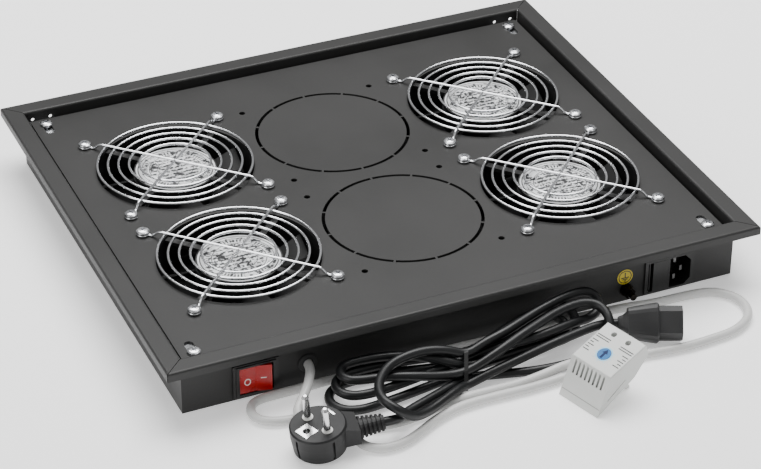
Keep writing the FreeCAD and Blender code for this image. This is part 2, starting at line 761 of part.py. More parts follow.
def thermostat_housing():
    body = side_prism(stat_profile, 0, stat_w)
    rounds = [e for e in body.Edges if e.Length > stat_w - 1 and abs(e.Vertexes[0].Z) < 0.01]
    rounds += [e for e in body.Edges if abs(e.Length - stat_face) < 0.1]
    body = body.makeFillet(0.9, rounds)
    cuts = []
    # row of vents down the sloping face
    for k in range(8):
        y = 5.0 + k * (stat_w - 10.0) / 7
        slot = side_prism([(35.6, 1.0), (35.6, -5.6), (41.2, -12.6), (42.4, -7.6)], y - 0.85, y + 0.85)
        cuts.append(slot)
    for y in (11.5, 24.5):
        cuts.append(rod(2.1, 7.0, V(6.0, y, -6.0)))
    # double rules and short combs engraved each side of the dial
    for y0, y1 in ((1.6, 13.5), (22.5, 34.4)):
        for x in (11.2, 13.1):
            cuts.append(block(x - 0.28, x + 0.28, y0, y1, -0.35, 1))
    for k in range(5):
        x = 16.4 + 2.4 * k
        short = 3.2 if k in (1, 3) else 5.4
        cuts.append(block(x - 0.25, x + 0.25, 1.6, 1.6 + short, -0.35, 1))
        cuts.append(block(x - 0.25, x + 0.25, 34.4 - short, 34.4, -0.35, 1))
    cuts.append(rod(dial_r, 2.4, V(22.4, stat_w / 2, -1.9)))
    cuts.append(block(20.0, 33.0, 10.0, 26.0, -13.0, -4.0))
    # groove along each side where the two shell halves meet
    for y0, y1 in ((-1, 0.35), (stat_w - 0.35, stat_w + 1)):
        cuts.append(side_prism([(24.0, -12.2), (42.5, -16.4), (42.3, -17.2), (24.0, -13.0)], y0, y1))
    body = body.cut(Part.makeCompound(cuts))
    return stat_place(body)


def thermostat_clip():
    foot = side_prism(clip_profile, 10.0, 26.0)
    body = side_prism(stat_profile, 0, stat_w)
    return stat_place(foot.cut(body))


def thermostat_dial():
    disc = rod(dial_r - run_fit, 2.1, V(22.4, stat_w / 2, -1.8))
    disc = disc.cut(block(19.3, 25.5, stat_w / 2 - 0.6, stat_w / 2 + 0.6, -0.5, 1))
    return stat_place(disc)


def thermostat_contact():
    """bimetal snap disc and its carrier, sealed in the housing"""
    return stat_place(rod(6.5, 3.0, V(26.5, stat_w / 2, -11.0)))


def thermostat_screws():
    out = []
    for y in (11.5, 24.5):
        head = rod(1.9, 2.0, V(6.0, y, -6.0)).cut(block(3.0, 9.0, y - 0.35, y + 0.35, -4.7, -3))
        out.append(stat_place(head))
    return out


# ---------------------------------------------------------------- mains lead
def plug_place(shape):
    """pins stand up, leaning a little because the neck lies on the cable"""
    shape.rotate(V(0, 0, 0), V(0, 1, 0), -plug_pitch)
    shape.rotate(V(0, 0, 0), V(0, 0, 1), plug_turn)
    shape.translate(plug_at)
    return shape


relief_from = 26.0
relief_to = 43.5
lead_z = 9.0


def plug_body():
    """flat round plug, pins up; the neck leaves it at a slant"""
    taper = plug_r - 1.2
    puck = spun([(0, 0), (taper - 1.0, 0), (taper, 1.0), (plug_r, 12.0), (plug_r, plug_h - 1.0),
                 (plug_r - 1.0, plug_h), (0, plug_h)])
    neck_side = [(8.0, 3.2), (relief_from, 3.2), (relief_from, 14.6), (16.0, 18.2), (8.0, 18.2)]
    neck = side_prism(neck_side, -9.8, 9.8)
    # strain relief: a tapering stem with ribs across it
    stem_rings = [ellipse_at(relief_from - 1.0, 6.8, 5.8), ellipse_at(relief_to, 4.8, 4.8)]
    pieces = [neck, Part.makeLoft(stem_rings, True, True)]
    for k in range(6):
        x = relief_from + 0.6 + 2.9 * k
        pieces.append(Part.makeLoft([ellipse_at(x, 8.8 - 0.5 * k, 6.6 - 0.15 * k),
                                     ellipse_at(x + 1.4, 8.6 - 0.5 * k, 6.4 - 0.15 * k)], True, True))
    stalk = joined(pieces)
    stalk = stalk.cut(rod(lead_d / 2, 9.0, V(relief_to - 6.0, 0, lead_z), V(1, 0, 0)))
    stalk.rotate(V(0, 0, 0), V(0, 0, 1), neck_turn)
    solid = joined([puck] + stalk.Solids)
    # recess for the earth socket, the pins and the side clip
    solid = solid.cut(rod(3.6, 14.0, V(-9.6, 0, plug_h - 12.0)))
    solid = solid.cut(block(-14.6, -4.4, -5.4, 5.4, plug_h - 1.0, plug_h + 1))
    for dy in (-pin_pitch / 2, pin_pitch / 2):
        solid = solid.cut(rod(3.6, 1.0, V(0, dy, plug_h - 0.8)))
        solid = solid.cut(rod(2.4, 8.0, V(0, dy, plug_h - 7.0)))
    solid = solid.cut(block(*clip_x, *clip_y, plug_h - 6.0, plug_h + 1))
    # upright grooves in the side
    for deg in (100, 180, 260):
        groove = block(plug_r - 1.7, plug_r + 2, -0.9, 0.9, 2.0, plug_h - 3.0)
        groove.rotate(V(0, 0, 0), V(0, 0, 1), deg)
        solid = solid.cut(groove)
    return plug_place(solid)


clip_x = (12.8, 14.2)
clip_y = (-1.6, 5.6)


def ellipse_at(x, ry, rz):
    angles = [math.radians(15 * k) for k in range(24)]
    pts = [V(x, ry * math.cos(a), lead_z + rz * math.sin(a)) for a in angles]
    return Part.makePolygon(pts + [pts[0]])


def plug_pins():
    out = []
    for dy in (-pin_pitch / 2, pin_pitch / 2):
        tip = plug_h + 18.6
        shank = spun([(0, plug_h - 7.0), (2.4, plug_h - 7.0), (2.4, tip - 1.8), (1.2, tip), (0, tip)])
        shank.translate(V(0, dy, 0))
        out.append(plug_place(shank))
    return out


def plug_collars():
    """pale insulating ring round each pin"""
    out = []
    for dy in (-pin_pitch / 2, pin_pitch / 2):
        ring = rod(3.6, 1.4, V(0, dy, plug_h - 0.8)).cut(rod(2.4, 4.0, V(0, dy, plug_h - 2.0)))
        out.append(plug_place(ring))
    return out


def plug_earth():
    """sheet contact with the socket hole, and the side clip by the lead"""
    plate = block(-14.6, -4.4, -5.4, 5.4, plug_h - 1.0, plug_h + 0.2)
    sleeve = rod(3.6, 11.0, V(-9.6, 0, plug_h - 12.0))
    socket = joined([plate, sleeve]).cut(rod(2.6, 14.0, V(-9.6, 0, plug_h - 10.5)))
    clip = block(*clip_x, *clip_y, plug_h - 6.0, plug_h + 0.3)
    return [plug_place(socket), plug_place(clip)]


def conn_place(shape):
    """x = out of the nose, rolled on to its edge"""
    shape.rotate(V(0, 0, 0), V(1, 0, 0), conn_roll)
    shape.rotate(V(0, 0, 0), V(0, 0, 1), conn_turn)
    shape.translate(conn_face)
    return shape


conn_nose = 16.4
conn_grip = 21.0
conn_back = 44.0
sleeve_spots = [(-7.0, -2.2), (7.0, -2.2), (0.0, 2.2)]


def connector_body():
    c = 4.2
    w = 11.8
    h = 8.1
    ring = [(-w, -h), (w, -h), (w, h - c), (w - c, h), (-w + c, h), (-w, h - c)]
    outline = Part.makePolygon([V(-conn_nose, y, z) for y, z in ring + [ring[0]]])
    nose = Part.Face(outline).extrude(V(conn_nose, 0, 0))

    def oval(x, ry, rz):
        pts = []
        for k in range(24):
            a = math.radians(15 * k)
            c1 = math.copysign(abs(math.cos(a)) ** 0.5, math.cos(a))
            s1 = math.copysign(abs(math.sin(a)) ** 0.5, math.sin(a))
            pts.append(V(x, ry * c1, rz * s1))
        return Part.makePolygon(pts + [pts[0]])
    back = -conn_nose
    tail = back - conn_grip
    grip_rings = [oval(tail, 10.6, 8.8), oval(back - 9.0, 12.8, 9.8), oval(back - 1.0, 14.0, 10.4)]
    grip_rings.append(oval(back, 13.2, 9.8))
    grip = Part.makeLoft(grip_rings, True, True)
    neck_rings = [oval(-conn_back, 4.4, 4.4), oval(tail - 3.5, 5.6, 5.6), oval(tail, 8.6, 8.0)]
    neck = Part.makeLoft(neck_rings, True, True)
    solid = joined([nose, grip, neck])
    for y, z in sleeve_spots:
        solid = solid.cut(block(-14.0, 1.0, y - 2.4, y + 2.4, z - 1.4, z + 1.4))
    solid = solid.cut(rod(lead_d / 2, 8.0, V(-conn_back - 1.0, 0, 0), V(1, 0, 0)))
    return conn_place(solid)


def connector_sleeves():
    out = []
    for y, z in sleeve_spots:
        sleeve = block(-14.0, -1.6, y - 2.4, y + 2.4, z - 1.4, z + 1.4)
        out.append(conn_place(sleeve.cut(block(-13.0, 0, y - 2.0, y + 2.0, z - 1.0, z + 1.0))))
    return out


def conn_point(x, y=0.0, z=0.0):
    return FreeCAD.Rotation(V(0, 0, 1), conn_turn).multVec(
        FreeCAD.Rotation(V(1, 0, 0), conn_roll).multVec(V(x, y, z))) + conn_face


def neck_point(along, z=lead_z):
    """place on the line of the plug's neck"""
    lean = FreeCAD.Rotation(V(0, 0, 1), plug_turn).multiply(FreeCAD.Rotation(V(0, 1, 0), -plug_pitch))
    slant = math.radians(neck_turn)
    return lean.multVec(V(along * math.cos(slant), along * math.sin(slant), z)) + plug_at


# outer shape of the folded lead: x, y from, y to, z from, z to
hank_sections = [(-117, -217, -199, 4.0, 19), (-106, -231, -190, 1.1, 27), (-86, -237.5, -187, 0.8, 32),
                 (-62, -236, -186.8, 0.8, 32), (-40, -231, -189, 1.0, 30), (-18, -225, -193, 2.5, 27),
                 (10, -227, -189, 1.0, 29), (42, -226, -188.2, 1.0, 30), (70, -222.5, -189, 1.9, 28),
                 (89, -211, -193, 5.4, 22)]


def bulge(x, y0, y1, z0, z1, grow=0.0):
    """closed rounded-square ring across the hank"""
    pts = []
    half_y = (y1 - y0) / 2 + grow
    half_z = (z1 - z0) / 2 + grow
    for k in range(20):
        a = math.radians(18 * k + 9)
        c1 = math.copysign(abs(math.cos(a)) ** 0.62, math.cos(a))
        s1 = math.copysign(abs(math.sin(a)) ** 0.62, math.sin(a))
        pts.append(V(x, (y0 + y1) / 2 + lay_y + half_y * c1, (z0 + z1) / 2 + half_z * s1))
    curve = Part.BSplineCurve()
    curve.interpolate(pts, PeriodicFlag=True)
    return Part.Wire(curve.toShape())


def cord_hank():
    return Part.makeLoft([bulge(*s) for s in hank_sections], True, False)


def cord_tie():
    x, y0, y1, z0, z1 = hank_sections[5]
    outer_rings = [bulge(x + off, y0, y1, z0, z1, 1.8) for off in (-1.6, 1.6)]
    inner_rings = [bulge(x + off, y0, y1, z0, z1, 0.7) for off in (-3.0, 3.0)]
    outer = Part.makeLoft(outer_rings, True, True)
    inner = Part.makeLoft(inner_rings, True, True)
    return outer.cut(inner)


def cord_plug_end():
    pts = [neck_point(relief_to - 5.8), neck_point(relief_to + 6.0, lead_z - 0.4)]
    pts += [V(-81.0, -249.0 + lay_y, 14.6), V(-70.0, -235.5 + lay_y, 14.6)]
    return tube(pts, lead_d, "cord at the plug")


def cord_connector_end():
    pts = [conn_point(-conn_back + 5.5), conn_point(-conn_back - 5.0, 0.4, 0.2), V(77.5, -206.0 + lay_y, 14.4)]
    pts.append(V(66, -202.5 + lay_y, 13.8))
    return tube(pts, lead_d, "cord at the connector")


# ---------------------------------------------------------------- write the nodes
save("tray_frame", tray_frame())
save("fan_panel", fan_panel())
save("corner_brackets", corner_brackets())
save("corner_screws", corner_screws())
for index, (col, row) in enumerate(fan_spots, 1):
    cx = col * column_pitch
    cy = row * row_pitch / 2
    tag = str(index)
    save("fan_" + tag + "_frame", fan_frame(cx, cy))
    save("fan_" + tag + "_rotor", fan_rotor(cx, cy))
    save("fan_" + tag + "_shaft", fan_shaft(cx, cy))
    save("fan_" + tag + "_motor", fan_motor(cx, cy))
    save("fan_" + tag + "_label", fan_label(cx, cy))
    save("fan_" + tag + "_guard", fan_guard(cx, cy))
save("guard_screws", guard_screws())
save("guard_nuts", guard_nuts())
save("switch_housing", switch_housing())
save("switch_rocker", switch_rocker())
save("switch_terminals", switch_terminals())
save("inlet_housing", inlet_housing())
save("inlet_pins", inlet_pins())
save("fuse_drawer", fuse_drawer())
save("fuse", fuse())
save("cable_grommet", cable_grommet())
save("earth_stud", earth_stud())
save("earth_washers", earth_washers())
save("earth_nut", earth_nut())
save("earth_label", earth_label())
save("terminal_block", terminal_block())
save("inner_wiring", inner_wiring())
save("white_cable", white_cable())
save("thermostat_housing", thermostat_housing())
save("thermostat_clip", thermostat_clip())
save("thermostat_dial", thermostat_dial())
save("thermostat_contact", thermostat_contact())
save("thermostat_screws", thermostat_screws())
save("plug_body", plug_body())
save("plug_pins", plug_pins())
save("plug_collars", plug_collars())
save("plug_earth", plug_earth())
save("cord_plug_end", cord_plug_end())
save("cord_hank", cord_hank())
save("cord_tie", cord_tie())
save("cord_connector_end", cord_connector_end())
save("connector_body", connector_body())
save("connector_sleeves", connector_sleeves())
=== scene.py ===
import math
import bpy
import bmesh
from mathutils import Matrix, Vector


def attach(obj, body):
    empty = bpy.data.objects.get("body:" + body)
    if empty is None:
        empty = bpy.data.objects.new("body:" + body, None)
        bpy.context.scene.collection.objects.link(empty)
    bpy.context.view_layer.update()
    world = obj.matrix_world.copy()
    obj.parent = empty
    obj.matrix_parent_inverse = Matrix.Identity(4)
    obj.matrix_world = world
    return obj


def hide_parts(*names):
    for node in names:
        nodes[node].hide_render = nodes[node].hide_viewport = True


mm = 0.001

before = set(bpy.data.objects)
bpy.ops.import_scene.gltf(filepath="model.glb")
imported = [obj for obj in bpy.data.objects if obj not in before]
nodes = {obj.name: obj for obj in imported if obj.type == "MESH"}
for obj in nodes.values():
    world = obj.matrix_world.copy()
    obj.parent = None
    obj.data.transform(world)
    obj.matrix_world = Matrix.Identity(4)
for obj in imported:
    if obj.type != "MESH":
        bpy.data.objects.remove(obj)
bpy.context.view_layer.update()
print("frame loaded:", len(nodes), "nodes")


# angles in degrees, lens in millimetres, the rest in metres
cameraSettings = {
    "azimuth": -23.75,
    "elevation": 33.05,
    "roll": 0.11,
    "distance": 1.8354,
    "target": (-0.0239, -0.0793, 0.0375),
    "lens": 122.93,
    "sensor": 36.0,
    "clip": (0.05, 30.0),
}


def addCamera(s):
    a = math.radians(s["azimuth"])
    e = math.radians(s["elevation"])
    back = Vector((math.sin(a) * math.cos(e), -math.cos(a) * math.cos(e), math.sin(e)))
    camera = bpy.data.objects.new("camera", bpy.data.cameras.new("camera"))
    bpy.context.scene.collection.objects.link(camera)
    camera.data.lens = s["lens"]
    camera.data.sensor_width = s["sensor"]
    camera.data.clip_start = s["clip"][0]
    camera.data.clip_end = s["clip"][1]
    camera.location = Vector(s["target"]) + back * s["distance"]
    turn = (-back).to_track_quat("-Z", "Y").to_matrix()
    roll = Matrix.Rotation(math.radians(s["roll"]), 3, "Z")
    camera.rotation_euler = (turn @ roll).to_euler()
    bpy.context.scene.camera = camera


addCamera(cameraSettings)
print("camera set")


# the lead's route, in millimetres: out of the plug, folded to and fro through the tie, into the connector
leadRoute = [
    (-97.9, -254.0, 15.8), (-92.2, -255.0, 16.2), (-86.0, -251.3, 12.8), (-77, -243.6, 10.4),
    (-60, -236.6, 9.4), (-40, -227.5, 7.4), (-22, -218.3, 5.6),
    # first right fold, over the connector's end of the lead
    (2, -223, 4.2), (28, -229.3, 4.0), (50, -230.5, 4.1), (68, -230.5, 5.2), (78, -228.5, 9),
    (84, -223.5, 15.5), (87, -216.5, 21.5), (87, -208.5, 24.8), (83, -201.5, 26.6), (73, -198, 27.3),
    (55, -201, 27.2), (36, -208.5, 26.5), (17, -215.5, 25), (-2, -220.5, 20), (-23, -222, 12.1),
    # top left fold
    (-42, -220.5, 13.5), (-60, -217.5, 17), (-78, -211.5, 17.8), (-94, -208.8, 17.8),
    (-101.7, -205.7, 17.7), (-105, -198, 17.5), (-101.7, -190.3, 17.5), (-94, -187.2, 17.6),
    (-72, -189.5, 18), (-54, -196.5, 18.4), (-42, -206.5, 19.2), (-31, -213, 17), (-20.5, -215.4, 12.1),
    # inner right fold
    (0, -214.8, 11.3), (18, -213, 11), (36, -212, 10.9), (52, -209.6, 11), (60.2, -206.2, 11.2),
    (63.6, -198, 12.4), (60.2, -189.8, 13.6), (52, -186.9, 13.8), (38, -188.3, 12.5), (22, -192.5, 9.5),
    (4, -199, 6.8), (-15, -204.8, 5.6),
    # bottom left fold
    (-36, -199, 4.6), (-60, -192.5, 4.2), (-84, -190.4, 4.2), (-101, -190.4, 4.2), (-112.3, -195.2, 4.2),
    (-117, -206.5, 4.3), (-112.3, -217.8, 4.4), (-101, -222.7, 4.4), (-84, -221.5, 4.4), (-62, -218.5, 4.4),
    (-40, -215, 4.6), (-18.5, -211.7, 5.6),
    # tilted right fold
    (0, -208, 5), (22, -206, 4.6), (42, -205, 4.3), (60, -204.4, 4.2), (69, -201.6, 6.8),
    (72.8, -194.9, 12.9), (69, -188.2, 19), (60, -185.4, 21.6), (44, -187.3, 20.6), (24, -191.5, 18),
    (4, -197.5, 14.5), (-13, -201.5, 12.1),
    # middle left fold
    (-34, -196.5, 11.4), (-58, -191, 10.9), (-80, -189.4, 10.9), (-97, -189.4, 11), (-106.5, -193.3, 11),
    (-110.5, -202.8, 11), (-106.5, -212.3, 11), (-97, -216.2, 11), (-80, -216, 11), (-58, -213, 11.1),
    (-36, -209, 11.2), (-17, -208, 12.1),
    # outer right fold, up to the topmost run
    (-2, -209.5, 16.2), (14, -212.5, 18.8), (34, -212.5, 19.2), (52, -209.5, 19.2), (68, -204.8, 17.4),
    (79, -201, 14), (89, -197, 15.4), (92, -190, 21.8), (84, -186.8, 28), (66, -189.6, 29.2),
    (46, -195, 28.2), (28, -201.5, 27.2), (12, -207, 25.8), (-4, -209.5, 23.5), (-18.5, -211.7, 18.6),
    # big arch over the left side, down on to the cable in front
    (-32, -208.3, 24.4), (-46, -205.6, 26.4), (-60, -205.4, 25.8), (-73, -209, 25.4), (-83, -217, 25.2),
    (-90.5, -227.5, 25.2), (-94, -238.5, 25.4), (-93.5, -248, 25.4), (-87, -256, 22.4),
    (-77.5, -256.4, 14.6),
    (-64, -249.4, 10.8), (-48, -241, 10.4), (-34, -232.8, 9.2), (-24.5, -226.3, 5.6),
    # run to the connector
    (-4, -226, 11), (20, -222, 13), (44, -217.3, 14.2), (64, -214, 14.8), (80, -211.5, 15),
    (90.15, -212.67, 14.9), (99.76, -216.9, 14.9),
]

# the thermostat's cable, in millimetres: terminal block, grommet, round the hank, thermostat
floorLine = 3.35
cableRoute = [
    (-22, -152, 26.6), (-38, -151.5, 21.5), (-60, -151, 17.5), (-84, -149, 14.6), (-106, -151.2, 15.2),
    (-118.8, -162, 16.3), (-118.8, -178.5, 16.2), (-122.5, -187.5, 15.6), (-129, -198, 14.4),
    (-137, -207.2, 12.8), (-143.6, -215, 10.4), (-142.4, -222.6, 6.6), (-133.2, -225.6, 4.0),
    (-122.9, -229.8, floorLine),
    (-116.8, -238.6, floorLine), (-115.6, -249, floorLine), (-112.6, -259.5, floorLine),
    (-102.5, -265.8, floorLine), (-88, -265.2, floorLine), (-74, -258.8, floorLine),
    (-58, -249.8, floorLine), (-38, -243.3, floorLine), (-10, -243.2, floorLine), (16, -244.2, floorLine),
    (44, -242, floorLine), (72, -238.2, floorLine), (104, -240.2, floorLine), (130, -244.2, floorLine),
    (153, -243, floorLine), (176, -240.6, floorLine), (193.5, -227.5, floorLine), (196.5, -207, floorLine),
    (183, -191.6, floorLine), (160, -189.3, floorLine), (138, -189, floorLine), (114, -185, floorLine),
    (88, -183.6, floorLine), (52, -182, floorLine), (14, -183.3, floorLine), (-26, -181.8, floorLine),
    (-64, -183, floorLine), (-102, -181.9, floorLine), (-130, -182.9, floorLine), (-147, -182.7, floorLine),
    (-157.5, -183.2, floorLine), (-165, -187, floorLine), (-168.6, -196.4, floorLine),
    (-165, -205.8, floorLine), (-155, -211, floorLine), (-143, -212.8, floorLine), (-131, -214, floorLine),
    (-121.4, -220.2, floorLine), (-110.5, -233.6, floorLine), (-95, -243.4, floorLine),
    (-70, -243.6, floorLine), (-46, -236.2, floorLine), (-18, -235.9, floorLine), (10, -236.8, floorLine),
    (31, -235.2, floorLine + 1.6), (46, -237, 9.6), (60, -244.8, 15), (66.8, -249.6, 20.0),
]

# a low order keeps the curve near its points
cordSettings = {"order": 3, "stepsPerPoint": 5, "roundness": 4}
leadSettings = {"diameter": 6.6 * mm, "length": 1.85}
cableSettings = {"diameter": 6.5 * mm, "length": 1.2}


def addCord(name, route, diameter):
    curve = bpy.data.curves.new(name, "CURVE")
    curve.dimensions = "3D"
    spline = curve.splines.new("NURBS")
    spline.points.add(len(route) - 1)
    for point, place in zip(spline.points, route):
        point.co = (place[0] * mm, place[1] * mm, place[2] * mm, 1.0)
        point.radius = diameter / 2
    spline.order_u = cordSettings["order"]
    spline.use_endpoint_u = True
    spline.resolution_u = cordSettings["stepsPerPoint"]
    curve.bevel_depth = 1.0  # times each point's radius
    curve.bevel_resolution = cordSettings["roundness"]
    curve.use_fill_caps = True
    cord = bpy.data.objects.new(name, curve)
    bpy.context.scene.collection.objects.link(cord)
    return cord


mainsLead = addCord("mainsLead", leadRoute, leadSettings["diameter"])
whiteCable = addCord("whiteCable", cableRoute, cableSettings["diameter"])
for cord, replaced, slotName in (
    (mainsLead, ("cord_plug_end", "cord_hank", "cord_connector_end"), "lead_cover"),
    (whiteCable, ("white_cable",), "white_cover"),
):
    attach(cord, "tray")
    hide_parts(*replaced)
print("cords laid")

# a colour and a second one for its grain, roughness low and high, bump, the fine and the wide grain per
# metre, wear of the gloss, and for some the metal share and the specular level
looks = {
    "powder_coat": {"a": (0.019, 0.019, 0.0185), "b": (0.026, 0.0255, 0.025), "rough": (0.40, 0.52),
                    "bump": 0.10, "fine": 900, "wide": 9, "wear": 0.3, "shine": 0.3},
    "zinc": {"a": (0.62, 0.63, 0.65), "b": (0.80, 0.81, 0.83), "rough": (0.14, 0.32), "metal": 1.0,
             "bump": 0.05, "fine": 1400, "wide": 60, "wear": 0.4},
    "black_plastic": {"a": (0.005, 0.005, 0.005), "b": (0.009, 0.009, 0.009), "rough": (0.38, 0.55),
                      "bump": 0.08, "fine": 1600, "wide": 30, "wear": 0.2},
    # black plastic for the blades, made darker than black_plastic as painted shade inside the fan
    "rotor_plastic": {"a": (0.0025, 0.0025, 0.0025), "b": (0.005, 0.005, 0.005), "rough": (0.5, 0.65),
                      "bump": 0.05, "fine": 1200, "wide": 30, "wear": 0.2},
    "steel_shaft": {"a": (0.42, 0.42, 0.42), "b": (0.55, 0.55, 0.55), "rough": (0.16, 0.3), "metal": 1.0,
                    "bump": 0.03, "fine": 1500, "wide": 60, "wear": 0.2},
    "winding": {"a": (0.35, 0.13, 0.04), "b": (0.48, 0.20, 0.08), "rough": (0.3, 0.45), "metal": 0.7,
                "bump": 0.3, "fine": 2500, "wide": 80, "wear": 0.2},
    "guard_wire": {"a": (0.76, 0.77, 0.79), "b": (0.88, 0.89, 0.91), "rough": (0.10, 0.22), "metal": 1.0,
                   "bump": 0.02, "fine": 1200, "wide": 40, "wear": 0.25},
    "red_rocker": {"a": (0.34, 0.003, 0.004), "b": (0.44, 0.006, 0.006), "rough": (0.18, 0.30),
                   "bump": 0.03, "fine": 1400, "wide": 60, "wear": 0.15},
    "contact_metal": {"a": (0.50, 0.49, 0.46), "b": (0.64, 0.63, 0.60),
                      "rough": (0.25, 0.42), "metal": 1.0,
                      "bump": 0.03, "fine": 1500, "wide": 60, "wear": 0.2},
    "pin_metal": {"a": (0.62, 0.62, 0.62), "b": (0.78, 0.78, 0.78), "rough": (0.12, 0.24), "metal": 1.0,
                  "bump": 0.02, "fine": 1500, "wide": 60, "wear": 0.2},
    # painted shade: a darker copy of the pin metal for the pins deep in the inlet's well
    "shaded_inlet_metal": {"a": (0.16, 0.16, 0.16), "b": (0.24, 0.24, 0.24), "rough": (0.25, 0.4), "metal": 1.0,
                    "bump": 0.02, "fine": 1500, "wide": 60, "wear": 0.2},
    "fuse_glass": {"a": (0.55, 0.58, 0.58), "b": (0.68, 0.70, 0.70), "rough": (0.06, 0.14),
                   "bump": 0.01, "fine": 1000, "wide": 60, "wear": 0.1},
    "grommet_rubber": {"a": (0.012, 0.012, 0.012), "b": (0.022, 0.022, 0.022), "rough": (0.55, 0.75),
                       "bump": 0.1, "fine": 1500, "wide": 50, "wear": 0.2},
    "stud_brass": {"a": (0.010, 0.009, 0.008), "b": (0.024, 0.020, 0.017),
                   "rough": (0.3, 0.5), "metal": 1.0, "bump": 0.05, "fine": 1500, "wide": 80, "wear": 0.3},
    "yellow_label": {"a": (0.60, 0.46, 0.004), "b": (0.68, 0.53, 0.01), "rough": (0.3, 0.45),
                     "bump": 0.03, "fine": 1200, "wide": 60, "wear": 0.1},
    "block_plastic": {"a": (0.60, 0.59, 0.55), "b": (0.68, 0.67, 0.63), "rough": (0.4, 0.55),
                      "bump": 0.05, "fine": 1200, "wide": 40, "wear": 0.15},
    "wire_cover": {"a": (0.016, 0.016, 0.018), "b": (0.028, 0.028, 0.030), "rough": (0.35, 0.5),
                   "bump": 0.05, "fine": 1500, "wide": 40, "wear": 0.15},
    "white_cover": {"a": (0.53, 0.53, 0.52), "b": (0.62, 0.62, 0.61), "rough": (0.34, 0.48),
                    "bump": 0.05, "fine": 1300, "wide": 22, "wear": 0.25},
    "stat_plastic": {"a": (0.57, 0.58, 0.56), "b": (0.64, 0.65, 0.63), "rough": (0.38, 0.50),
                     "bump": 0.06, "fine": 1800, "wide": 40, "wear": 0.2},
    "blue_dial": {"a": (0.0, 0.11, 0.33), "b": (0.0, 0.15, 0.41), "shine": 0.25, "rough": (0.35, 0.5),
                  "bump": 0.03, "fine": 1500, "wide": 60, "wear": 0.1},
    "dark_plastic": {"a": (0.011, 0.011, 0.0115), "b": (0.018, 0.018, 0.0185), "rough": (0.40, 0.58),
                     "bump": 0.14, "fine": 1500, "wide": 30, "wear": 0.2},
    "plug_rubber": {"a": (0.005, 0.005, 0.0052), "b": (0.010, 0.010, 0.0104),
                    "rough": (0.45, 0.62), "shine": 0.36,
                    "bump": 0.16, "fine": 1500, "wide": 30, "wear": 0.2},
    "pale_plastic": {"a": (0.60, 0.60, 0.57), "b": (0.70, 0.70, 0.67), "rough": (0.3, 0.45),
                     "bump": 0.04, "fine": 1300, "wide": 50, "wear": 0.15},
    "lead_cover": {"a": (0.003, 0.0034, 0.0036), "b": (0.006, 0.0065, 0.007), "shine": 0.36,
                   "rough": (0.32, 0.46), "bump": 0.06, "fine": 1300, "wide": 26, "wear": 0.25},
    "tie_plastic": {"a": (0.004, 0.004, 0.004), "b": (0.008, 0.008, 0.008), "shine": 0.3,
                    "rough": (0.3, 0.45), "bump": 0.05, "fine": 1300, "wide": 40, "wear": 0.15},
    "pad_print": {"a": (0.84, 0.76, 0.74), "b": (0.90, 0.84, 0.82), "rough": (0.4, 0.55),
                  "bump": 0.03, "fine": 1500, "wide": 60, "wear": 0.1},
    "dark_print": {"a": (0.012, 0.014, 0.010), "b": (0.02, 0.022, 0.016), "rough": (0.4, 0.55),
                   "bump": 0.03, "fine": 1500, "wide": 60, "wear": 0.1},
    "deep_blue_print": {"a": (0.0, 0.010, 0.06), "b": (0.0, 0.018, 0.09), "shine": 0.1,
                        "rough": (0.3, 0.45), "bump": 0.03, "fine": 1500, "wide": 60, "wear": 0.1},
    # dark grey: painted shade at the vents' bottoms, and the dark lines along the engraved rules
    "vent_shade_and_rule_grey": {"a": (0.012, 0.012, 0.013), "b": (0.02, 0.02, 0.022), "shine": 0.15,
                   "rough": (0.4, 0.55), "bump": 0.03, "fine": 1500, "wide": 60, "wear": 0.1},
    "step_shade": {"a": (0.26, 0.26, 0.25), "b": (0.32, 0.32, 0.31), "rough": (0.5, 0.6),
                   "bump": 0.03, "fine": 1500, "wide": 60, "wear": 0.1},
    "pale_blue_print": {"a": (0.28, 0.60, 0.80), "b": (0.34, 0.66, 0.86), "rough": (0.4, 0.5),
                        "bump": 0.03, "fine": 1500, "wide": 60, "wear": 0.1},
}


# short way to add and link shader nodes
class Graph:
    def __init__(self, name):
        self.material = bpy.data.materials.new(name)
        self.material.use_nodes = True
        self.tree = self.material.node_tree
        self.shader = self.tree.nodes["Principled BSDF"]
        self.place = self.add("ShaderNodeTexCoord").outputs["Object"]

    # a link where the value is a socket, a constant where it is a number
    def feed(self, socket, value):
        if hasattr(value, "is_linked"):
            self.tree.links.new(value, socket)
        else:
            socket.default_value = value

    def add(self, kind, **inputs):
        node = self.tree.nodes.new(kind)
        for key, value in inputs.items():
            self.feed(node.inputs[key], value)
        return node

    def noise(self, scale, detail=3.0, rough=0.55):
        node = self.add("ShaderNodeTexNoise", Vector=self.place, Scale=scale, Detail=detail, Roughness=rough)
        return node.outputs["Fac"]

    def fit(self, value, fromLow, fromHigh, low, high):
        node = self.add("ShaderNodeMapRange")
        for socket, given in zip(node.inputs, (value, fromLow, fromHigh, low, high)):
            self.feed(socket, given)
        return node.outputs["Result"]

    def math(self, kind, a, b=0.0):
        node = self.add("ShaderNodeMath")
        node.operation = kind
        for socket, given in zip(node.inputs, (a, b)):
            self.feed(socket, given)
        return node.outputs["Value"]

    def blend(self, fac, a, b):
        node = self.add("ShaderNodeMix")
        node.data_type = "RGBA"
        for socket, given in ((node.inputs[0], fac), (node.inputs[6], a), (node.inputs[7], b)):
            self.feed(socket, given)
        return node.outputs[2]

    def into(self, name, value):
        self.feed(self.shader.inputs[name], value)

    def bump(self, height, strength, distance):
        node = self.add("ShaderNodeBump", Strength=strength, Distance=distance, Height=height)
        self.into("Normal", node.outputs["Normal"])

    # 1 where the value lies between the two limits
    def band(self, value, low, high):
        above = self.math("GREATER_THAN", value, low)
        below = self.math("LESS_THAN", value, high)
        return self.math("MULTIPLY", above, below)

    def most(self, parts):
        out = parts[0]
        for part in parts[1:]:
            out = self.math("MAXIMUM", out, part)
        return out


def colour(rgb):
    return (rgb[0], rgb[1], rgb[2], 1.0)


